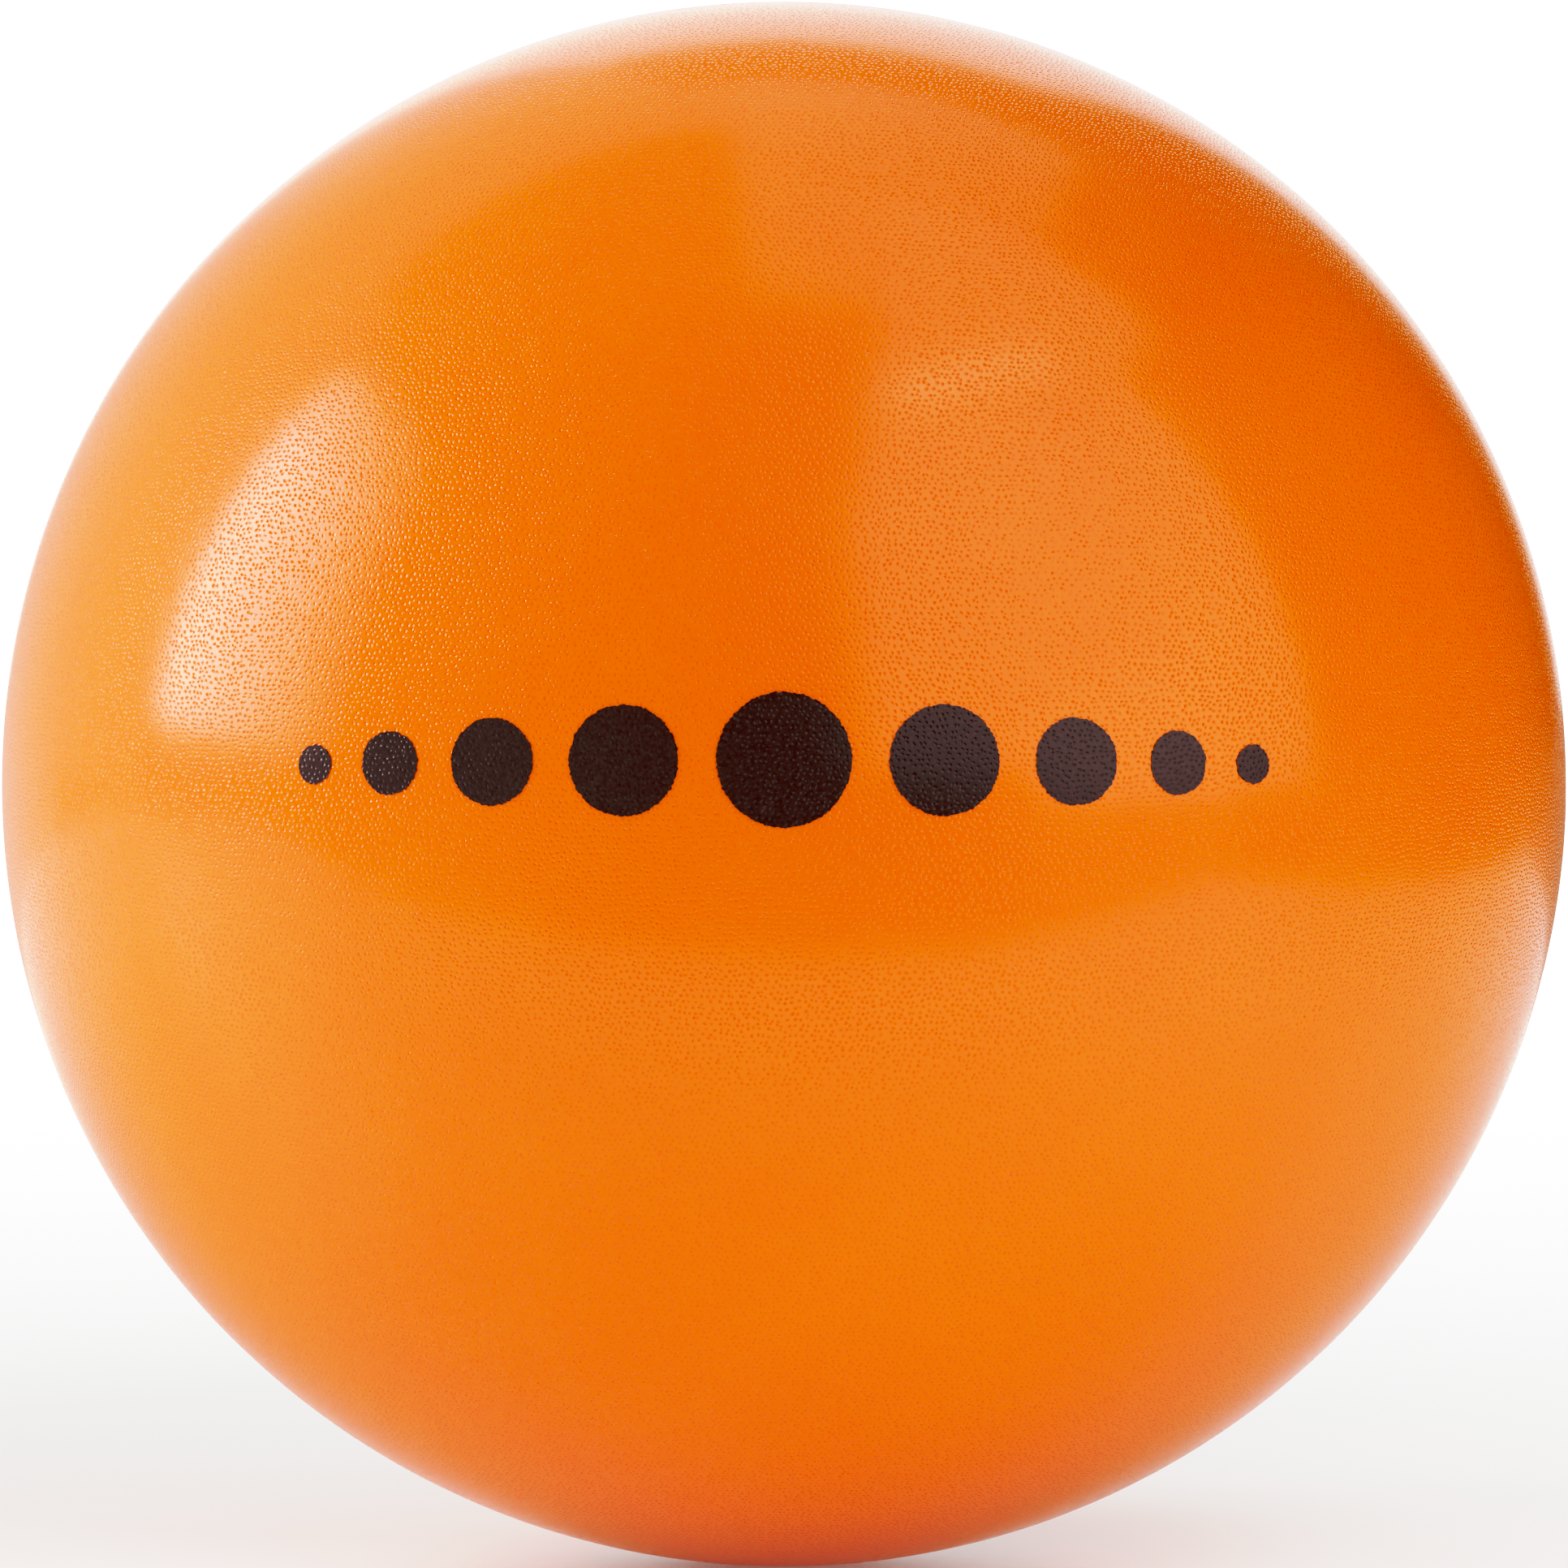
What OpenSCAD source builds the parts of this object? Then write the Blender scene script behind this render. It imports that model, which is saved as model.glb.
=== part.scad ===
// Soft foam hockey ball. A foam core fills a dense skin that formed in the two halves of a mould.
// A thin foam line closes the parting line, a sealing dab closes the trimmed pour gate,
// and a row of round dots is printed on the front.
// The origin is the ball's centre, +Z is up, the dots face -Y and the pour gate faces +Y.

/* [Ball] */
// Outside diameter of the ball
ball_d = 65; // [55:0.5:80]
// Thickness of the dense skin
skin_t = 1.2; // [0.9:0.1:2.5]

/* [Parting line] */
// Width of the gap between the two skin halves, which the foam line fills
seam_w = 0.4; // [0.3:0.05:1]
// How far the trimmed foam line lies below the skin
seam_depth = 0.1; // [0.05:0.05:0.3]

/* [Pour gate] */
// Diameter of the pour hole through the rear skin
gate_d = 7; // [5:0.5:12]
// Thickness of the sealing dab
seal_t = 0.6; // [0.5:0.05:0.75]
// Width of the even rim around the dab's sunken middle
seal_rim_w = 0.8; // [0.4:0.1:1.5]
// How far the dab's middle shrinks below its rim
seal_sink = 0.12; // [0.05:0.01:0.2]

/* [Printed dots] */
// Diameter of the middle dot
dot_d = 5.4; // [4:0.1:7]
// Diameter of the two end dots
end_dot_d = 1.6; // [1:0.1:3]
// Number of dots on each side of the middle one
side_dots = 4; // [1:1:5]
// Bare gap between neighbouring dots, along the surface
dot_gap = 1.5; // [0.8:0.1:2.5]
// Angle of the row above the ball's waist
mark_lift = 5.7; // [0:0.1:20]
// Thickness of the ink film
ink_t = 0.05; // [0.04:0.01:0.1]

/* [Fits] */
// Gap between pieces that cure onto each other
bond_line = 0.05; // [0.03:0.01:0.1]

/* [Hidden] */
$fn = 180;

skin_colour = "#f07a14";
foam_colour = "#f7a04a";
seal_colour = "#e8700f";
ink_colour = "#35231e";

ball_r = ball_d / 2;
core_r = ball_r - skin_t - bond_line;
ink_r = ball_r + bond_line + ink_t;
seal_d = gate_d - 2 * bond_line;
// The dab's hollow is a ball of radius sink_r that meets the outer face in a ring of radius sink_edge_r
sink_edge_r = seal_d / 2 - seal_rim_w;
sink_edge_y = sqrt(ball_r * ball_r - sink_edge_r * sink_edge_r);
sink_r = (sink_edge_r * sink_edge_r + seal_sink * seal_sink) / (2 * seal_sink);

// Dots shrink evenly from the middle of the row to its ends
function dot_size(i) = dot_d - (dot_d - end_dot_d) * i / side_dots;
// Distance along the surface from the middle of the row to dot i
function dot_place(i) = i == 0 ? 0 : dot_place(i - 1) + dot_gap + (dot_size(i - 1) + dot_size(i)) / 2;
// Angle at the ball's centre for a distance along its surface
function surface_angle(length) = length / ball_r * 180 / PI;

// Profile of a ball's wall beside the +Y axis, with outside radius r and thickness t, between two diameters
module wall_profile(r, t, outer_d, inner_d = 0, from_y = 0) {
    intersection() {
        difference() {
            circle(r = r);
            circle(r = r - t);
        }
        translate([inner_d / 2, from_y])
            square([(outer_d - inner_d) / 2, r]);
    }
}

// Turns the right half of a profile about its +Y axis, which then points to the ball's front
module turned_front() {
    rotate([90, 0, 0])
        rotate_extrude()
            intersection() {
                children();
                translate([0, -ball_d])
                    square([ball_d, 2 * ball_d]);
            }
}

// The same, with the axis to the ball's rear
module turned_rear() {
    rotate([0, 0, 180])
        turned_front()
            children();
}

module foam_core() {
    color(foam_colour)
        turned_rear() {
            circle(r = core_r);
            // Foam line in the gap between the skins
            square([ball_d - 2 * seam_depth, seam_w - 2 * bond_line], center = true);
            // Trimmed end of the pour in the rear skin's hole
            intersection() {
                circle(r = ball_r - seal_t - bond_line);
                square([seal_d / 2, ball_r]);
            }
        }
}

module front_skin() {
    color(skin_colour)
        turned_front()
            wall_profile(ball_r, skin_t, 2 * ball_d, from_y = seam_w / 2);
}

module rear_skin() {
    color(skin_colour)
        turned_rear()
            wall_profile(ball_r, skin_t, 2 * ball_d, inner_d = gate_d, from_y = seam_w / 2);
}

module gate_seal() {
    color(seal_colour)
        turned_rear()
            difference() {
                wall_profile(ball_r, seal_t, seal_d);
                translate([0, sink_edge_y - seal_sink + sink_r])
                    circle(r = sink_r);
            }
}

module printed_mark() {
    color(ink_colour)
        rotate([-mark_lift, 0, 0])
            for (side = [-1, 1], i = [0 : side_dots])
                if (i > 0 || side > 0)
                    rotate([0, 0, side * surface_angle(dot_place(i))])
                        turned_front()
                            wall_profile(ink_r, ink_t, dot_size(i));
}

foam_core();
front_skin();
rear_skin();
gate_seal();
printed_mark();
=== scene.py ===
import math

import bpy
from mathutils import Matrix, Vector, noise


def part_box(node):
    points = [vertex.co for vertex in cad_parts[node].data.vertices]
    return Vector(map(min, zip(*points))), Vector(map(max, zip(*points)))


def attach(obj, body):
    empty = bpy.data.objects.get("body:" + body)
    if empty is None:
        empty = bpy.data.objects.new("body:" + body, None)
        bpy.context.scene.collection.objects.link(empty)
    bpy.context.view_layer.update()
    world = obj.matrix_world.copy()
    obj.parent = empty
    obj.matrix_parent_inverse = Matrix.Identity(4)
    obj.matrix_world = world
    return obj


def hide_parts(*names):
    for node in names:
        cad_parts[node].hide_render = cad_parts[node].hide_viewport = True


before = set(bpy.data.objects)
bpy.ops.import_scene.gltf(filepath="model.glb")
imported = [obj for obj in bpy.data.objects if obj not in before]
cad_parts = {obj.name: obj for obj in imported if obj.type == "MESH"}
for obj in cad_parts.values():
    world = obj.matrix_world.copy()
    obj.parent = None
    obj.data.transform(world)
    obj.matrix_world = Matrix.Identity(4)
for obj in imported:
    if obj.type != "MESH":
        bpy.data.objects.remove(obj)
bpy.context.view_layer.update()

MM = 0.001

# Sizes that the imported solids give
front_low, front_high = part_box("front_skin")
rear_low, rear_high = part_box("rear_skin")
core_low, core_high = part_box("foam_core")
seal_low, seal_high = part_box("gate_seal")
BALL_R = (front_high[0] - front_low[0]) / 2
SEAM_HALF_W = -front_high[1]
CORE_R = -core_low[1]
FOAM_LINE_R = core_high[0]
GATE_R = math.sqrt(BALL_R**2 - rear_high[1] ** 2)
SEAL_R = seal_high[0]

# Sizes of the construction that no box gives
BOND_LINE = 0.05 * MM
SKIN_INNER_R = CORE_R + BOND_LINE
FOAM_LINE_HALF_W = SEAM_HALF_W - BOND_LINE
SEAL_T = 0.6 * MM
SEAL_RIM_W = 0.8 * MM
SEAL_SINK = 0.12 * MM
SEAL_WALL_H = 0.7 * SEAL_T
SEAL_RINGS = 22
SEAL_CORNERS = 128
GATE_CORNERS = 160
POUR_END_CORNERS = 96

# The printed row of dots, as in the solids
DOT_D = 5.4 * MM
END_DOT_D = 1.6 * MM
SIDE_DOTS = 4
DOT_GAP = 1.5 * MM
MARK_LIFT = math.radians(5.7)
INK_LIFT = 0.006 * MM
INK_T = 0.03 * MM
INK_EDGE_STEP = 0.04 * MM
INK_RING_W = 0.25 * MM
# Raggedness of the ink's edge: length and height
INK_RAGS = [(0.12 * MM, 0.06 * MM), (0.5 * MM, 0.04 * MM)]

# Finish of the moulded skin
SKIN_SUBDIVISIONS = 8
LINING_SUBDIVISIONS = 6
LIP_R = 0.15 * MM
LIP_STEPS = 4
SMOOTH_ANGLE = math.radians(40)
# Waves that the mould and the shrinking foam leave in the skin: length and height
SKIN_WAVES = [(9.0 * MM, 0.03 * MM), (1.4 * MM, 0.006 * MM)]

# Photograph's view: the ball's outline is a circle of this radius in a square image
IMAGE_SIDE_PX = 1932
BALL_RADIUS_PX = 963.8
CAMERA_DISTANCE = 0.7
CAMERA_ELEVATION = math.radians(4.0)


# Modelling helpers


def start_piece():
    """Leaves nothing selected, so that an operator acts only on the piece it makes."""
    bpy.ops.object.select_all(action="DESELECT")


def name_piece(name):
    piece = bpy.context.object
    piece.name = piece.data.name = name
    return piece


def apply_modifier(piece, kind, **settings):
    modifier = piece.modifiers.new(kind.lower(), kind)
    for key, value in settings.items():
        setattr(modifier, key, value)
    bpy.ops.object.modifier_apply(modifier=modifier.name)


def add_waves(piece, waves):
    """Swells and sinks a surface by smooth noise of the given lengths and heights."""
    for number, (length, height) in enumerate(waves):
        texture = bpy.data.textures.new(f"{piece.name}_wave_{number}", "CLOUDS")
        texture.noise_scale = length
        texture.noise_depth = 1
        apply_modifier(piece, "DISPLACE", texture=texture, texture_coords="LOCAL", strength=height)


def select_open_edges():
    bpy.ops.mesh.select_mode(type="EDGE")
    bpy.ops.mesh.select_all(action="DESELECT")
    bpy.ops.mesh.select_non_manifold(
        use_wire=False, use_boundary=True, use_multi_face=False, use_non_contiguous=False, use_verts=False
    )


def extrude_ring(scale, step_y):
    """Extrudes the selected ring about the Y axis, scaled across it and moved along it."""
    bpy.ops.mesh.extrude_edges_move()
    bpy.ops.transform.resize(value=(scale, 1, scale), center_override=(0, 0, 0))
    bpy.ops.transform.translate(value=(0, step_y, 0))


def close_and_smooth(piece):
    bpy.ops.mesh.select_all(action="SELECT")
    bpy.ops.mesh.normals_make_consistent(inside=False)
    bpy.ops.object.mode_set(mode="OBJECT")
    bpy.ops.object.shade_smooth_by_angle(angle=SMOOTH_ANGLE)
    return piece


# Pieces


def half_skin(name, side):
    """One half of the skin, on the given side of the parting plane, with a rounded lip along it."""
    start_piece()
    bpy.ops.mesh.primitive_ico_sphere_add(subdivisions=SKIN_SUBDIVISIONS, radius=BALL_R)
    skin = name_piece(name)
    add_waves(skin, SKIN_WAVES)
    bpy.ops.object.mode_set(mode="EDIT")
    lip_start = SEAM_HALF_W + LIP_R
    bpy.ops.mesh.select_all(action="SELECT")
    bpy.ops.mesh.bisect(plane_co=(0, side * lip_start, 0), plane_no=(0, side, 0), clear_inner=True)
    select_open_edges()
    radius, y = BALL_R, lip_start
    for step in range(1, LIP_STEPS + 1):
        turn = math.pi / 2 * step / LIP_STEPS
        new_radius = BALL_R - LIP_R * (1 - math.cos(turn))
        new_y = lip_start - LIP_R * math.sin(turn)
        extrude_ring(new_radius / radius, side * (new_y - y))
        radius, y = new_radius, new_y
    # The lining is a coarser ball, cut at the lip's face and joined to it
    bpy.ops.mesh.select_all(action="DESELECT")
    bpy.ops.mesh.primitive_ico_sphere_add(subdivisions=LINING_SUBDIVISIONS, radius=SKIN_INNER_R)
    bpy.ops.mesh.bisect(plane_co=(0, side * SEAM_HALF_W, 0), plane_no=(0, side, 0), clear_inner=True)
    select_open_edges()
    bpy.ops.mesh.bridge_edge_loops()
    return close_and_smooth(skin)


def cut_gate(skin):
    """The round pour hole through the rear skin."""
    start_piece()
    bpy.ops.mesh.primitive_cylinder_add(
        vertices=GATE_CORNERS,
        radius=GATE_R,
        depth=BALL_R,
        location=(0, BALL_R, 0),
        rotation=(math.pi / 2, 0, 0),
    )
    drill = name_piece("drill")
    bpy.context.view_layer.objects.active = skin
    apply_modifier(skin, "BOOLEAN", object=drill, operation="DIFFERENCE", solver="EXACT")
    bpy.data.objects.remove(drill)


def foam_core():
    """The foam ball, with the foam line in the parting line and the trimmed end of the pour."""
    start_piece()
    bpy.ops.mesh.primitive_cylinder_add(
        vertices=POUR_END_CORNERS,
        radius=SEAL_R,
        depth=SEAL_T * 2,
        location=(0, CORE_R, 0),
        rotation=(math.pi / 2, 0, 0),
    )
    pour_end = name_piece("pour_end")
    start_piece()
    bpy.ops.mesh.primitive_ico_sphere_add(subdivisions=LINING_SUBDIVISIONS, radius=CORE_R)
    core = name_piece("foam_core_ball")
    apply_modifier(core, "BOOLEAN", object=pour_end, operation="UNION", solver="EXACT")
    bpy.data.objects.remove(pour_end)
    bpy.ops.object.mode_set(mode="EDIT")
    for side in (-1, 1):
        bpy.ops.mesh.select_all(action="SELECT")
        bpy.ops.mesh.bisect(plane_co=(0, side * FOAM_LINE_HALF_W, 0), plane_no=(0, side, 0))
    bpy.ops.object.mode_set(mode="OBJECT")
    for face in core.data.polygons:
        face.select = abs(face.center.y) < FOAM_LINE_HALF_W
    bpy.ops.object.mode_set(mode="EDIT")
    bpy.ops.mesh.select_mode(type="FACE")
    bpy.ops.mesh.extrude_region_move()
    line_scale = FOAM_LINE_R / CORE_R
    bpy.ops.transform.resize(value=(line_scale, 1, line_scale), center_override=(0, 0, 0))
    return close_and_smooth(core)


def gate_seal():
    """The brushed-on dab: an even rim and a middle that sank as it cured."""
    start_piece()
    bpy.ops.mesh.primitive_circle_add(vertices=SEAL_CORNERS, radius=SEAL_R, rotation=(math.pi / 2, 0, 0))
    seal = name_piece("gate_seal_dab")
    bpy.ops.object.transform_apply()
    bpy.ops.object.mode_set(mode="EDIT")
    bpy.ops.mesh.select_all(action="SELECT")
    sink_r = SEAL_R - SEAL_RIM_W
    radius, y = SEAL_R, 0.0
    for ring in range(SEAL_RINGS):
        new_radius = SEAL_R * (1 - ring / SEAL_RINGS)
        sunk = 0.5 + 0.5 * math.cos(math.pi * min(1.0, new_radius / sink_r))
        new_y = math.sqrt(BALL_R**2 - new_radius**2) - SEAL_SINK * sunk
        if ring:
            extrude_ring(new_radius / radius, new_y - y)
        else:
            bpy.ops.transform.translate(value=(0, new_y, 0))
        radius, y = new_radius, new_y
    bpy.ops.mesh.merge(type="CENTER")
    select_open_edges()
    extrude_ring(1, -SEAL_WALL_H)
    bpy.ops.mesh.edge_face_add()
    return close_and_smooth(seal)


def dot_size(i):
    return DOT_D - (DOT_D - END_DOT_D) * i / SIDE_DOTS


def dot_place(i):
    """Distance along the surface from the middle of the row to dot i."""
    return 0.0 if i == 0 else dot_place(i - 1) + DOT_GAP + (dot_size(i - 1) + dot_size(i)) / 2


def ink_dot(i, side):
    """One printed dot with a ragged edge, made of rings at the ball's front and turned to its place."""
    start_piece()
    radius = dot_size(i) / 2
    corners = int(2 * math.pi * radius / INK_EDGE_STEP)
    bpy.ops.mesh.primitive_circle_add(
        vertices=corners, radius=radius, location=(0, -BALL_R, 0), rotation=(math.pi / 2, 0, 0)
    )
    dot = bpy.context.object
    bpy.ops.object.transform_apply()
    for corner in dot.data.vertices:
        place = Vector((corner.co.x, side * i * DOT_D, corner.co.z))
        rag = sum(height * noise.noise(place / length) for length, height in INK_RAGS)
        corner.co.x *= 1 + rag / radius
        corner.co.z *= 1 + rag / radius
    bpy.ops.object.mode_set(mode="EDIT")
    bpy.ops.mesh.select_all(action="SELECT")
    rings = int(radius / INK_RING_W)
    for ring in range(1, rings):
        extrude_ring((rings - ring) / (rings - ring + 1), 0)
    bpy.ops.mesh.merge(type="CENTER")
    bpy.ops.mesh.select_all(action="SELECT")
    bpy.ops.mesh.normals_make_consistent(inside=False)
    bpy.ops.object.mode_set(mode="OBJECT")
    turn = side * dot_place(i) / BALL_R
    dot.matrix_world = Matrix.Rotation(-MARK_LIFT, 4, "X") @ Matrix.Rotation(turn, 4, "Z")
    bpy.ops.object.transform_apply()
    return dot


def printed_mark(skin):
    """The row of ink dots, laid on the skin and given the film's thickness."""
    dots = [ink_dot(i, side) for i in range(SIDE_DOTS + 1) for side in (-1, 1) if i or side > 0]
    start_piece()
    for dot in dots:
        dot.select_set(True)
    bpy.context.view_layer.objects.active = dots[0]
    bpy.ops.object.join()
    mark = name_piece("ink_dots")
    apply_modifier(
        mark,
        "SHRINKWRAP",
        target=skin,
        wrap_method="NEAREST_SURFACEPOINT",
        wrap_mode="ABOVE_SURFACE",
        offset=INK_LIFT,
    )
    apply_modifier(mark, "SOLIDIFY", thickness=INK_T, offset=1)
    bpy.ops.object.shade_smooth_by_angle(angle=SMOOTH_ANGLE)
    return mark


# Materials


def linear(hex_colour):
    """An sRGB hex colour as linear RGBA."""
    parts = [int(hex_colour[i : i + 2], 16) / 255 for i in (1, 3, 5)]
    return (*(c / 12.92 if c <= 0.04045 else ((c + 0.055) / 1.055) ** 2.4 for c in parts), 1.0)


def add(tree, kind, inputs=None, **settings):
    """Adds a node. Each input is a value or the socket that feeds it."""
    node = tree.nodes.new("ShaderNode" + kind)
    for key, value in settings.items():
        setattr(node, key, value)
    for key, value in (inputs or {}).items():
        if isinstance(value, bpy.types.NodeSocket):
            tree.links.new(value, node.inputs[key])
        else:
            node.inputs[key].default_value = value
    return node


def new_material(name):
    material = bpy.data.materials.new(name)
    material.use_nodes = True
    tree = material.node_tree
    tree.nodes.clear()
    shader = add(tree, "BsdfPrincipled")
    output = add(tree, "OutputMaterial", {"Surface": shader.outputs[0]})
    output.is_active_output = True
    return material, tree, shader


# Pits that foam bubbles leave in the skin, in rows like a honeycomb's that wander by this length and width
PIT_PITCH = 0.265 * MM
PIT_R = 0.088 * MM
PIT_DEPTH = 0.025 * MM
PIT_WANDER_L = 1.0 * MM
PIT_WANDER_W = 0.25 * MM
# How far a pit strays from its row, how its hollow rounds off, its least depth and what chance adds to that
PIT_STRAY = 0.5
PIT_ROUNDING = 1.3
PIT_LEAST, PIT_CHANCE = 0.6, 0.7
# The pits are shallower in the foam below the gloss, and in the ink
PIT_SOFTENED = 0.8 * PIT_DEPTH

# Patterns of the other finishes: the mottle of the skin, the ink's grain, foam cells and brush ripples
SKIN_MOTTLE = 6 * MM
INK_GRAIN = 0.15 * MM
FOAM_CELL = 0.4 * MM
FOAM_CELL_DEPTH = 0.1 * MM
BRUSH_RIPPLE = 1.6 * MM
BRUSH_RIPPLE_H = 0.03 * MM


def slanted(tree, place, slant, stretch):
    """Shifts a flat place sideways in proportion to its height, and stretches its height."""
    parts = add(tree, "SeparateXYZ", {"Vector": place}).outputs
    across = add(
        tree,
        "Math",
        {0: parts["Y"], 1: slant, 2: parts["X"]},
        operation="MULTIPLY_ADD",
    ).outputs[0]
    up = add(tree, "Math", {0: parts["Y"], 1: stretch}, operation="MULTIPLY").outputs[0]
    return add(tree, "CombineXYZ", {"X": across, "Y": up}).outputs[0]


def pitted_surface(tree):
    """Small round pits. Returns the place and the pits' depth, from 0 to about 1. Each half of the ball
    is laid out flat from its pole with equal areas, so the pits stay evenly spread."""
    place = add(tree, "TexCoord").outputs["Object"]
    parts = add(tree, "SeparateXYZ", {"Vector": place}).outputs
    height = add(tree, "Math", {0: parts["Y"]}, operation="ABSOLUTE").outputs[0]
    share = add(tree, "Math", {0: height, 1: 0.5 / BALL_R, 2: 0.5}, operation="MULTIPLY_ADD").outputs[0]
    spread = add(tree, "Math", {0: share}, operation="INVERSE_SQRT").outputs[0]
    across = add(tree, "CombineXYZ", {"X": parts["X"], "Y": parts["Z"]}).outputs[0]
    flat = add(tree, "VectorMath", {0: across, "Scale": spread}, operation="SCALE").outputs[0]
    wander = add(
        tree,
        "TexNoise",
        {"Vector": flat, "Scale": 1 / PIT_WANDER_L, "Detail": 0.0},
        noise_dimensions="2D",
    )
    shifted = add(
        tree,
        "VectorMath",
        {0: wander.outputs["Color"], 1: (PIT_WANDER_W,) * 3, 2: flat},
        operation="MULTIPLY_ADD",
    ).outputs[0]
    rows = slanted(tree, shifted, -math.sqrt(1 / 3), math.sqrt(4 / 3))
    cells = add(
        tree,
        "TexVoronoi",
        {"Vector": rows, "Scale": 1 / PIT_PITCH, "Randomness": PIT_STRAY},
        feature="F1",
        voronoi_dimensions="2D",
    )
    to_pit = add(
        tree,
        "VectorMath",
        {0: cells.outputs["Position"], 1: rows},
        operation="SUBTRACT",
    ).outputs[0]
    to_pit = slanted(tree, to_pit, 0.5, math.sqrt(3 / 4))
    distance = add(tree, "VectorMath", {0: to_pit}, operation="LENGTH").outputs["Value"]
    inside = add(
        tree,
        "MapRange",
        {"Value": distance, "From Min": 0.0, "From Max": PIT_R, "To Min": 1.0, "To Max": 0.0},
    ).outputs[0]
    hollow = add(tree, "Math", {0: inside, 1: PIT_ROUNDING}, operation="POWER").outputs[0]
    chance = add(tree, "SeparateXYZ", {"Vector": cells.outputs["Color"]}).outputs["X"]
    depth = add(
        tree,
        "Math",
        {0: chance, 1: PIT_CHANCE, 2: PIT_LEAST},
        operation="MULTIPLY_ADD",
    ).outputs[0]
    pits = add(tree, "Math", {0: hollow, 1: depth}, operation="MULTIPLY").outputs[0]
    return place, pits


def foam_skin_material():
    """Integral-skin polyurethane foam, moulded: a dense satin skin full of tiny round pits. The pits show
    in its gloss, and the light that spreads inside the foam softens them below it.
    The pits' hollows are also painted a darker orange, as painted shade."""
    material, tree, shader = new_material("integral_skin_polyurethane_foam")
    place, pits = pitted_surface(tree)
    mottle = add(tree, "TexNoise", {"Vector": place, "Scale": 1 / SKIN_MOTTLE, "Detail": 3.0})
    base = add(
        tree,
        "MixRGB",
        {"Fac": mottle.outputs["Fac"], "Color1": linear("#f87200"), "Color2": linear("#fa7900")},
    )
    # Painted shade: the pits' hollows are coloured a darker orange, for the shade that falls in them
    pit_painted_shade = add(
        tree,
        "MixRGB",
        {"Fac": pits, "Color1": base.outputs[0], "Color2": linear("#e86800")},
    )
    tree.links.new(pit_painted_shade.outputs[0], shader.inputs["Base Color"])
    roughness = add(tree, "MapRange", {"Value": mottle.outputs["Fac"], "To Min": 0.2, "To Max": 0.35})
    tree.links.new(roughness.outputs[0], shader.inputs["Roughness"])
    below = add(tree, "Bump", {"Height": pits, "Distance": PIT_SOFTENED, "Strength": 1.0}, invert=True)
    tree.links.new(below.outputs[0], shader.inputs["Normal"])
    gloss = add(tree, "Bump", {"Height": pits, "Distance": PIT_DEPTH, "Strength": 1.0}, invert=True)
    tree.links.new(gloss.outputs[0], shader.inputs["Coat Normal"])
    shader.inputs["Specular IOR Level"].default_value = 0.0
    shader.inputs["Coat Weight"].default_value = 1.0
    shader.inputs["Coat Roughness"].default_value = 0.18
    shader.inputs["Coat IOR"].default_value = 1.5
    shader.inputs["Subsurface Weight"].default_value = 0.3
    shader.inputs["Subsurface Radius"].default_value = (1.0, 0.35, 0.1)
    shader.inputs["Subsurface Scale"].default_value = 0.6 * MM
    return material


def ink_material():
    """Pad-printed ink: a thin brown-black film, finely grained, that follows the pits of the skin."""
    material, tree, shader = new_material("pad_printed_ink")
    place, pits = pitted_surface(tree)
    grain = add(tree, "TexNoise", {"Vector": place, "Scale": 1 / INK_GRAIN, "Detail": 2.0})
    base = add(
        tree,
        "MixRGB",
        {"Fac": grain.outputs["Fac"], "Color1": linear("#3a2727"), "Color2": linear("#59413d")},
    )
    tree.links.new(base.outputs[0], shader.inputs["Base Color"])
    bump = add(tree, "Bump", {"Height": pits, "Distance": PIT_SOFTENED, "Strength": 1.0}, invert=True)
    tree.links.new(bump.outputs[0], shader.inputs["Normal"])
    shader.inputs["Roughness"].default_value = 0.22
    shader.inputs["IOR"].default_value = 1.45
    return material


def foam_material():
    """Flexible polyurethane foam, cut: fine open cells, with painted shade in their hollows, and no shine.
    """
    material, tree, shader = new_material("open_polyurethane_foam")
    place = add(tree, "TexCoord").outputs["Object"]
    cells = add(tree, "TexVoronoi", {"Vector": place, "Scale": 1 / FOAM_CELL}, feature="F1")
    bump = add(
        tree,
        "Bump",
        {"Height": cells.outputs["Distance"], "Distance": FOAM_CELL_DEPTH, "Strength": 0.8},
    )
    # Painted shade: the cells' hollows are coloured darker than their walls
    base = add(
        tree,
        "MixRGB",
        {"Fac": cells.outputs["Distance"], "Color1": linear("#d8690f"), "Color2": linear("#f8a24c")},
    )
    tree.links.new(base.outputs[0], shader.inputs["Base Color"])
    tree.links.new(bump.outputs[0], shader.inputs["Normal"])
    shader.inputs["Roughness"].default_value = 0.85
    return material


def seal_material():
    """Brushed-on polyurethane coat: smoother than the skin, with soft brush ripples whose troughs are
    painted darker, as painted shade.
    """
    material, tree, shader = new_material("brushed_polyurethane_coat")
    place = add(tree, "TexCoord").outputs["Object"]
    stretch = add(tree, "Mapping", {"Vector": place, "Scale": (1.0, 1.0, 6.0), "Rotation": (0, 0.5, 0)})
    ripples = add(
        tree,
        "TexNoise",
        {"Vector": stretch.outputs[0], "Scale": 1 / BRUSH_RIPPLE, "Detail": 2.0},
    )
    bump = add(
        tree,
        "Bump",
        {"Height": ripples.outputs["Fac"], "Distance": BRUSH_RIPPLE_H, "Strength": 0.6},
    )
    # Painted shade: the coat is coloured darker in the ripples' troughs and lighter on their crests
    base = add(
        tree,
        "MixRGB",
        {"Fac": ripples.outputs["Fac"], "Color1": linear("#e66200"), "Color2": linear("#f27004")},
    )
    tree.links.new(base.outputs[0], shader.inputs["Base Color"])
    tree.links.new(bump.outputs[0], shader.inputs["Normal"])
    shader.inputs["Roughness"].default_value = 0.15
    shader.inputs["IOR"].default_value = 1.5
    return material


# Stage


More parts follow.
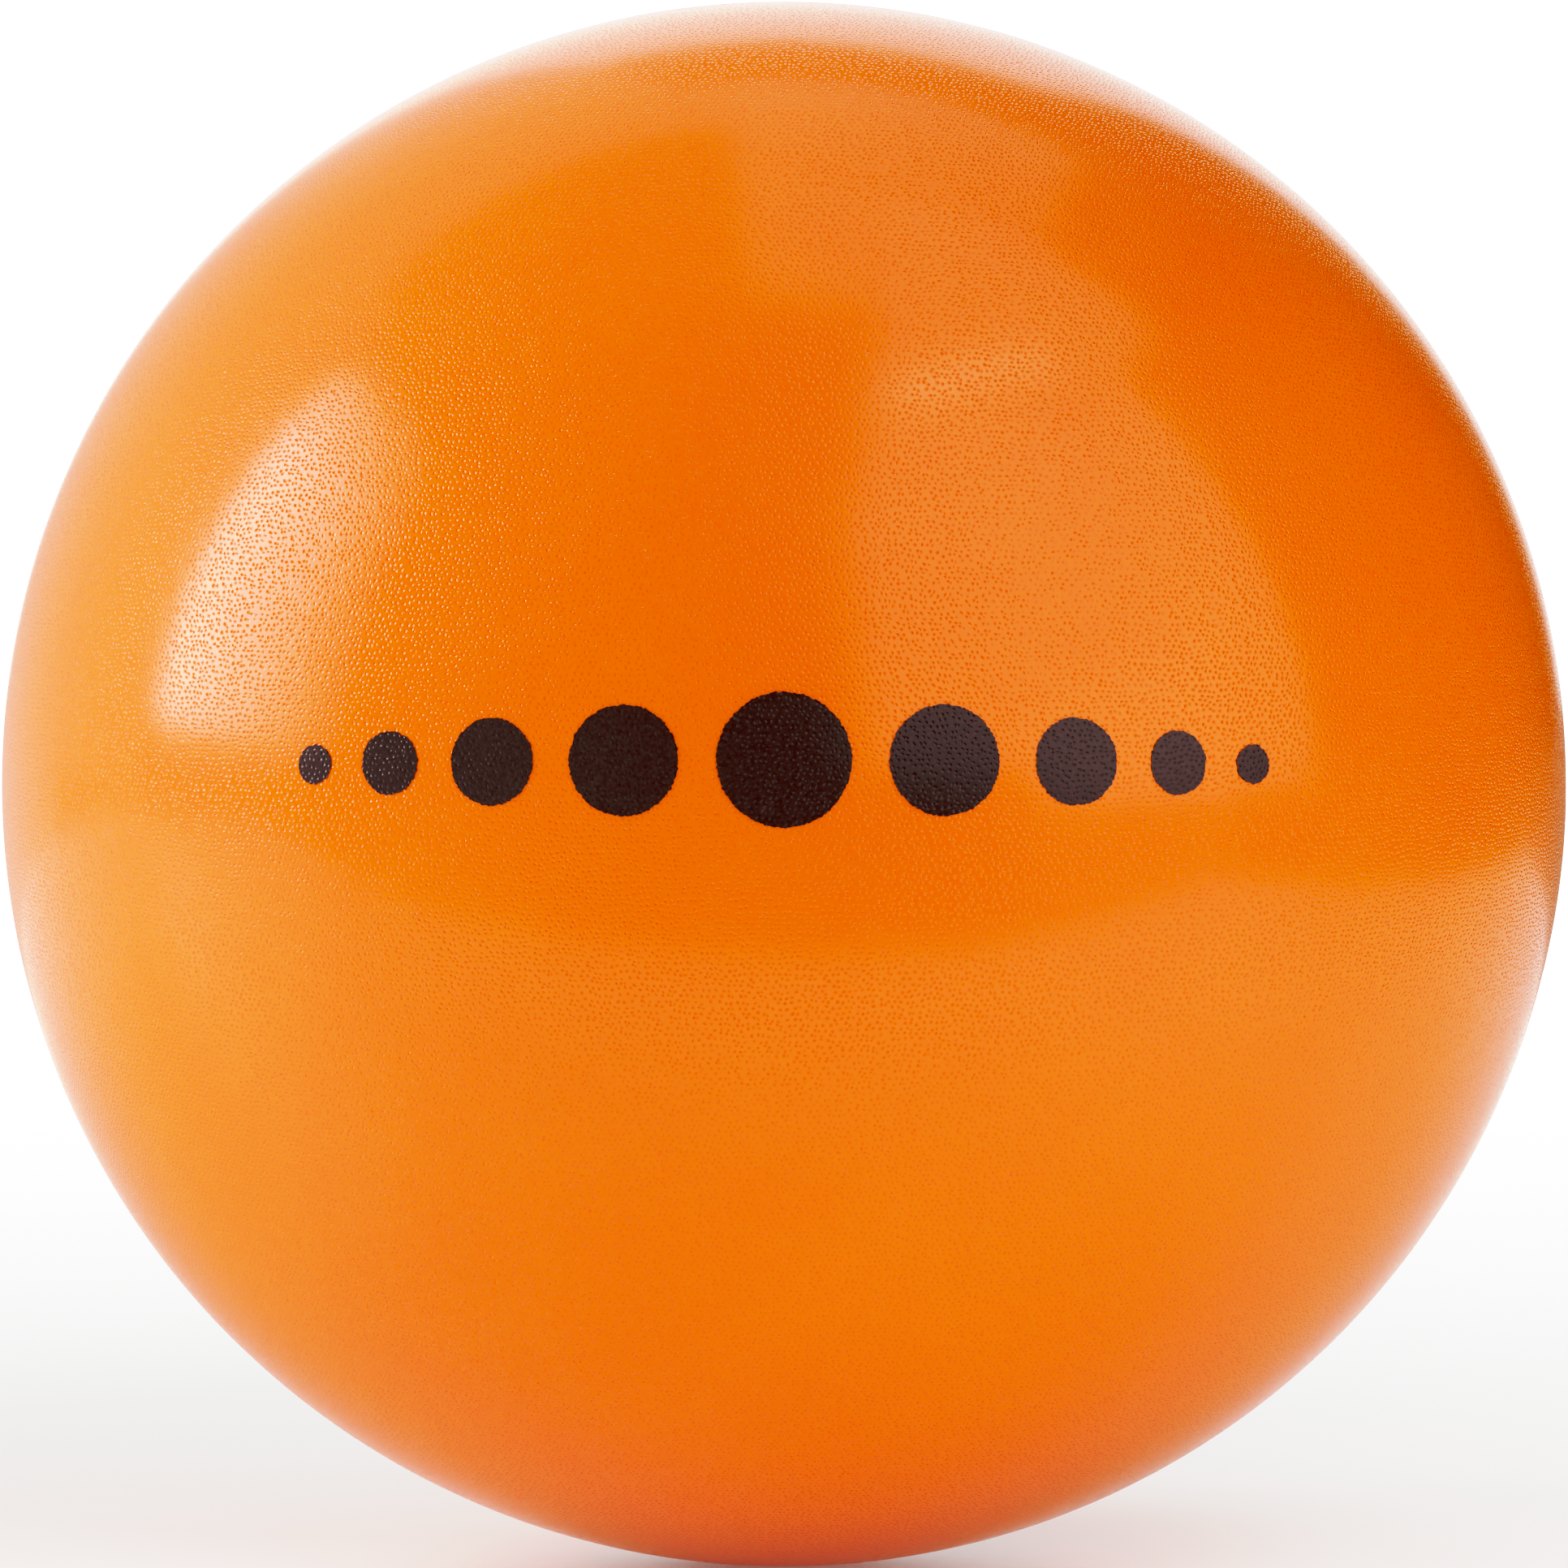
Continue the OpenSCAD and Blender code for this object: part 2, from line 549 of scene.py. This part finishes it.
def add_camera():
    """The photograph's view, from a little above and with the whole outline in the picture."""
    data = bpy.data.cameras.new("camera")
    camera = bpy.data.objects.new("camera", data)
    bpy.context.scene.collection.objects.link(camera)
    half_picture = math.tan(math.asin(BALL_R / CAMERA_DISTANCE)) * (IMAGE_SIDE_PX / 2) / BALL_RADIUS_PX
    data.sensor_width = 36.0
    data.lens = data.sensor_width / 2 / half_picture
    camera.location = CAMERA_DISTANCE * Vector((0, -math.cos(CAMERA_ELEVATION), math.sin(CAMERA_ELEVATION)))
    camera.rotation_euler = (-camera.location).to_track_quat("-Z", "Y").to_euler()
    data.clip_start, data.clip_end = 0.01, 20
    bpy.context.scene.camera = camera


# Softbox on the left: its distance, its span across, the strips it is made of, and for each row of strips
# the span up and the radiance at the rear edge. The strips dim evenly towards the front edge.
SOFTBOX_DISTANCE = 0.5
SOFTBOX_ACROSS = (-0.22, 0.115)
SOFTBOX_STRIPS = 8
SOFTBOX_ROWS = [((0.045, 0.36), 11.0), ((0.36, 0.46), 6.5)]

# Pale walls and reflectors: the side they stand on, their distance, their span across and up, and radiance.
# Panels that overlap stand a little apart, because only the nearest of two in one place is seen.
PANELS = {
    "right_wall": ("right", 0.5, (-0.7, -0.07), (0.0, 0.6), 1.58),
    "right_wall_foot": ("right", 0.49, (-0.7, -0.2), (-0.2, 0.2), 0.4),
    "front_wall": ("front", 0.7, (0.16, 0.5), (0.06, 0.6), 0.8),
    "front_wall_edge": ("front", 0.69, (0.1, 0.5), (0.06, 0.6), 0.8),
    "ceiling_front": ("top", 0.6, (0.16, 0.5), (-0.7, -0.25), 0.9),
    "ceiling_front_edge": ("top", 0.59, (0.1, 0.5), (-0.7, -0.25), 0.9),
    "ceiling_right": ("top", 0.6, (0.12, 0.5), (-0.25, 0.1), 1.25),
    "ceiling_middle": ("top", 0.6, (-0.05, 0.12), (-0.15, 0.1), 1.0),
    "ceiling_rear": ("top", 0.6, (-0.05, 0.3), (0.1, 0.45), 0.8),
    "ceiling_left": ("top", 0.6, (-0.5, -0.05), (0.27, 0.45), 0.5),
    "backdrop": ("rear", 0.45, (-0.1, 0.14), (-0.02, 0.35), 1.4),
    "backdrop_left": ("rear", 0.45, (-0.5, -0.1), (-0.02, 0.6), 0.42),
    "backdrop_foot_left": ("rear", 0.45, (-0.5, 0.0), (-0.09, -0.02), 0.45),
    "backdrop_foot_right": ("rear", 0.45, (0.0, 0.5), (-0.09, -0.02), 0.12),
    "left_wall": ("left", 0.5, (0.15, 0.45), (-0.02, 0.6), 0.45),
}
# A bright tube on the ceiling, slanting to the rear right
TUBE = ("top", 0.58, (0.12, 0.4), (-0.25, -0.18), 2.1)
TUBE_TURN = math.radians(42)
# Fills so soft that they leave no image of themselves in the skin
FILLS = {
    "front_fill": ("front", 0.65, (-0.7, 0.25), (-0.2, 0.1), 0.85),
    "right_fill": ("right", 0.45, (-0.5, 0.1), (0.0, 0.5), 0.2),
    "left_fill": ("left", 0.45, (-0.3, 0.3), (0.0, 0.5), 0.15),
}
FACING = {"left": (1, 0, 0), "right": (-1, 0, 0), "rear": (0, -1, 0), "front": (0, 1, 0), "top": (0, 0, -1)}


def add_lamp(name, side, distance, across, up, radiance):
    """A soft rectangular panel on one side of the ball, square to it and unseen by the camera."""
    data = bpy.data.lights.new(name, "AREA")
    data.shape = "RECTANGLE"
    data.size, data.size_y = across[1] - across[0], up[1] - up[0]
    data.energy = radiance * math.pi * data.size * data.size_y
    lamp = bpy.data.objects.new(name, data)
    bpy.context.scene.collection.objects.link(lamp)
    facing = Vector(FACING[side])
    middle_across, middle_up = sum(across) / 2, sum(up) / 2
    if side == "top":
        offset = Vector((middle_across, middle_up, 0))
    else:
        offset = Vector((abs(facing.y) * middle_across, abs(facing.x) * middle_across, middle_up))
    lamp.location = offset - facing * distance
    lamp.rotation_euler = facing.to_track_quat("-Z", "Y").to_euler()
    lamp.visible_camera = False
    return lamp


def add_lamps():
    front_edge, rear_edge = SOFTBOX_ACROSS
    width = (rear_edge - front_edge) / SOFTBOX_STRIPS
    for row, (up, radiance) in enumerate(SOFTBOX_ROWS):
        for strip in range(SOFTBOX_STRIPS):
            across = (front_edge + strip * width, front_edge + (strip + 1) * width)
            share = (strip + 0.5) / SOFTBOX_STRIPS
            add_lamp(f"softbox_{row}_{strip}", "left", SOFTBOX_DISTANCE, across, up, radiance * share)
    for name, panel in PANELS.items():
        add_lamp(name, *panel)
    tube = add_lamp("ceiling_tube", *TUBE)
    tube.rotation_euler.rotate_axis("Z", TUBE_TURN)
    for name, fill in FILLS.items():
        add_lamp(name, *fill).visible_glossy = False


# White table under the ball: left, right, front and rear edge
TABLE = (-600 * MM, 200 * MM, -110 * MM, 200 * MM)
TABLE_GAP = 0.01 * MM
# The table glows with painted light, which stands in for the light that falls on it. The glow is least
# round a spot behind the ball, as a painted shadow of the ball,
# # grows over the given reach, and grows once more along the rear edge.
PAINTED_SHADOW_SPOT = (-12 * MM, 38 * MM, -BALL_R)
PAINTED_GLOW_REACH = (30 * MM, 120 * MM)
PAINTED_GLOW = (0.05, 0.6)
PAINTED_REAR_GLOW_REACH = (150 * MM, 200 * MM)
PAINTED_REAR_GLOW = 0.4


def add_floor():
    """The table, of white laminate: smooth, with a soft gloss that shows the ball faintly. It glows with
    painted light, dimmest round the ball as a painted shadow.
    """
    start_piece()
    left, right, front_edge, rear_edge = TABLE
    bpy.ops.mesh.primitive_plane_add(size=1.0)
    floor = name_piece("floor")
    floor.scale = (right - left, rear_edge - front_edge, 1)
    floor.location = ((left + right) / 2, (front_edge + rear_edge) / 2, -BALL_R - TABLE_GAP)
    bpy.ops.object.transform_apply()
    material, tree, shader = new_material("white_laminate")
    shader.inputs["Base Color"].default_value = linear("#d9d9d7")
    shader.inputs["Roughness"].default_value = 0.35
    # Painted light: the table glows, least round a spot behind the ball as a painted shadow of it, and more
    # along the rear edge
    shader.inputs["Emission Color"].default_value = (1, 1, 1, 1)
    place = add(tree, "TexCoord").outputs["Object"]
    distance = add(tree, "VectorMath", {0: place, 1: PAINTED_SHADOW_SPOT}, operation="DISTANCE").outputs["Value"]
    painted_shadow_falloff = add(
        tree,
        "MapRange",
        {
            "Value": distance,
            "From Min": PAINTED_GLOW_REACH[0],
            "From Max": PAINTED_GLOW_REACH[1],
            "To Min": PAINTED_GLOW[0],
            "To Max": PAINTED_GLOW[1],
        },
    )
    along = add(tree, "SeparateXYZ", {"Vector": place}).outputs["Y"]
    painted_rear_glow_strength = add(
        tree,
        "MapRange",
        {
            "Value": along,
            "From Min": PAINTED_REAR_GLOW_REACH[0],
            "From Max": PAINTED_REAR_GLOW_REACH[1],
            "To Min": 0.0,
            "To Max": PAINTED_REAR_GLOW,
        },
    )
    painted_glow_strength = add(tree, "Math", {0: painted_shadow_falloff.outputs[0], 1: painted_rear_glow_strength.outputs[0]}, operation="ADD")
    tree.links.new(painted_glow_strength.outputs[0], shader.inputs["Emission Strength"])
    floor.data.materials.append(material)


# Light of the room, on the softbox's side and opposite it, and of the walls and the backdrop in the picture
ROOM_LIGHT = (0.45, 0.02)
WALL_LIGHT = 0.9
BACKDROP_LIGHT = 2.0


def add_world():
    """A dim room, paler on the softbox's side. The camera sees a white backdrop and pale grey walls."""
    world = bpy.data.worlds.new("studio")
    bpy.context.scene.world = world
    world.use_nodes = True
    tree = world.node_tree
    tree.nodes.clear()
    seen = add(tree, "LightPath").outputs["Is Camera Ray"]
    way = add(tree, "SeparateXYZ", {"Vector": add(tree, "TexCoord").outputs["Generated"]}).outputs
    room = add(
        tree,
        "MapRange",
        {
            "Value": way["X"],
            "From Min": -0.6,
            "From Max": 0.4,
            "To Min": ROOM_LIGHT[0],
            "To Max": ROOM_LIGHT[1],
        },
    )
    walls = add(
        tree,
        "MapRange",
        {
            "Value": way["Y"],
            "From Min": 0.6,
            "From Max": 0.95,
            "To Min": WALL_LIGHT,
            "To Max": BACKDROP_LIGHT,
        },
    )
    colour = add(tree, "MixRGB", {"Fac": seen, "Color1": room.outputs[0], "Color2": walls.outputs[0]})
    background = add(tree, "Background", {"Color": colour.outputs[0]})
    add(tree, "OutputWorld", {"Surface": background.outputs[0]})


# Film response with a soft toe and a long shoulder: scene light and what the film makes of it, up to white
FILM = [
    (0.03, 0.0),
    (0.06, 0.02),
    (0.095, 0.04),
    (0.13, 0.08),
    (0.18, 0.15),
    (0.28, 0.3),
    (0.45, 0.5),
    (0.66, 0.69),
    (0.8, 0.81),
    (1.05, 0.9),
    (1.45, 0.97),
]
FILM_WHITE = 2.0


def set_film():
    view = bpy.context.scene.view_settings
    view.view_transform = "Standard"
    view.use_curve_mapping = True
    film = view.curve_mapping
    film.white_level = (FILM_WHITE,) * 3
    shared = film.curves[3]
    for light, shown in FILM:
        shared.points.new(light / FILM_WHITE, shown)
    for point in shared.points:
        point.handle_type = "AUTO_CLAMPED"
    film.update()


def dress(piece, material, node):
    """Gives a piece its material and ties it to the solid that it stands for."""
    piece.data.materials.clear()
    piece.data.materials.append(material)
    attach(piece, "root")
    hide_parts(node)


add_camera()
skin_material = foam_skin_material()
front = half_skin("front_skin_shell", -1)
rear = half_skin("rear_skin_shell", 1)
cut_gate(rear)
core = foam_core()
seal = gate_seal()
mark = printed_mark(front)
dress(front, skin_material, "front_skin")
dress(rear, skin_material, "rear_skin")
dress(core, foam_material(), "foam_core")
dress(seal, seal_material(), "gate_seal")
dress(mark, ink_material(), "printed_mark")
add_lamps()
add_floor()
add_world()
set_film()
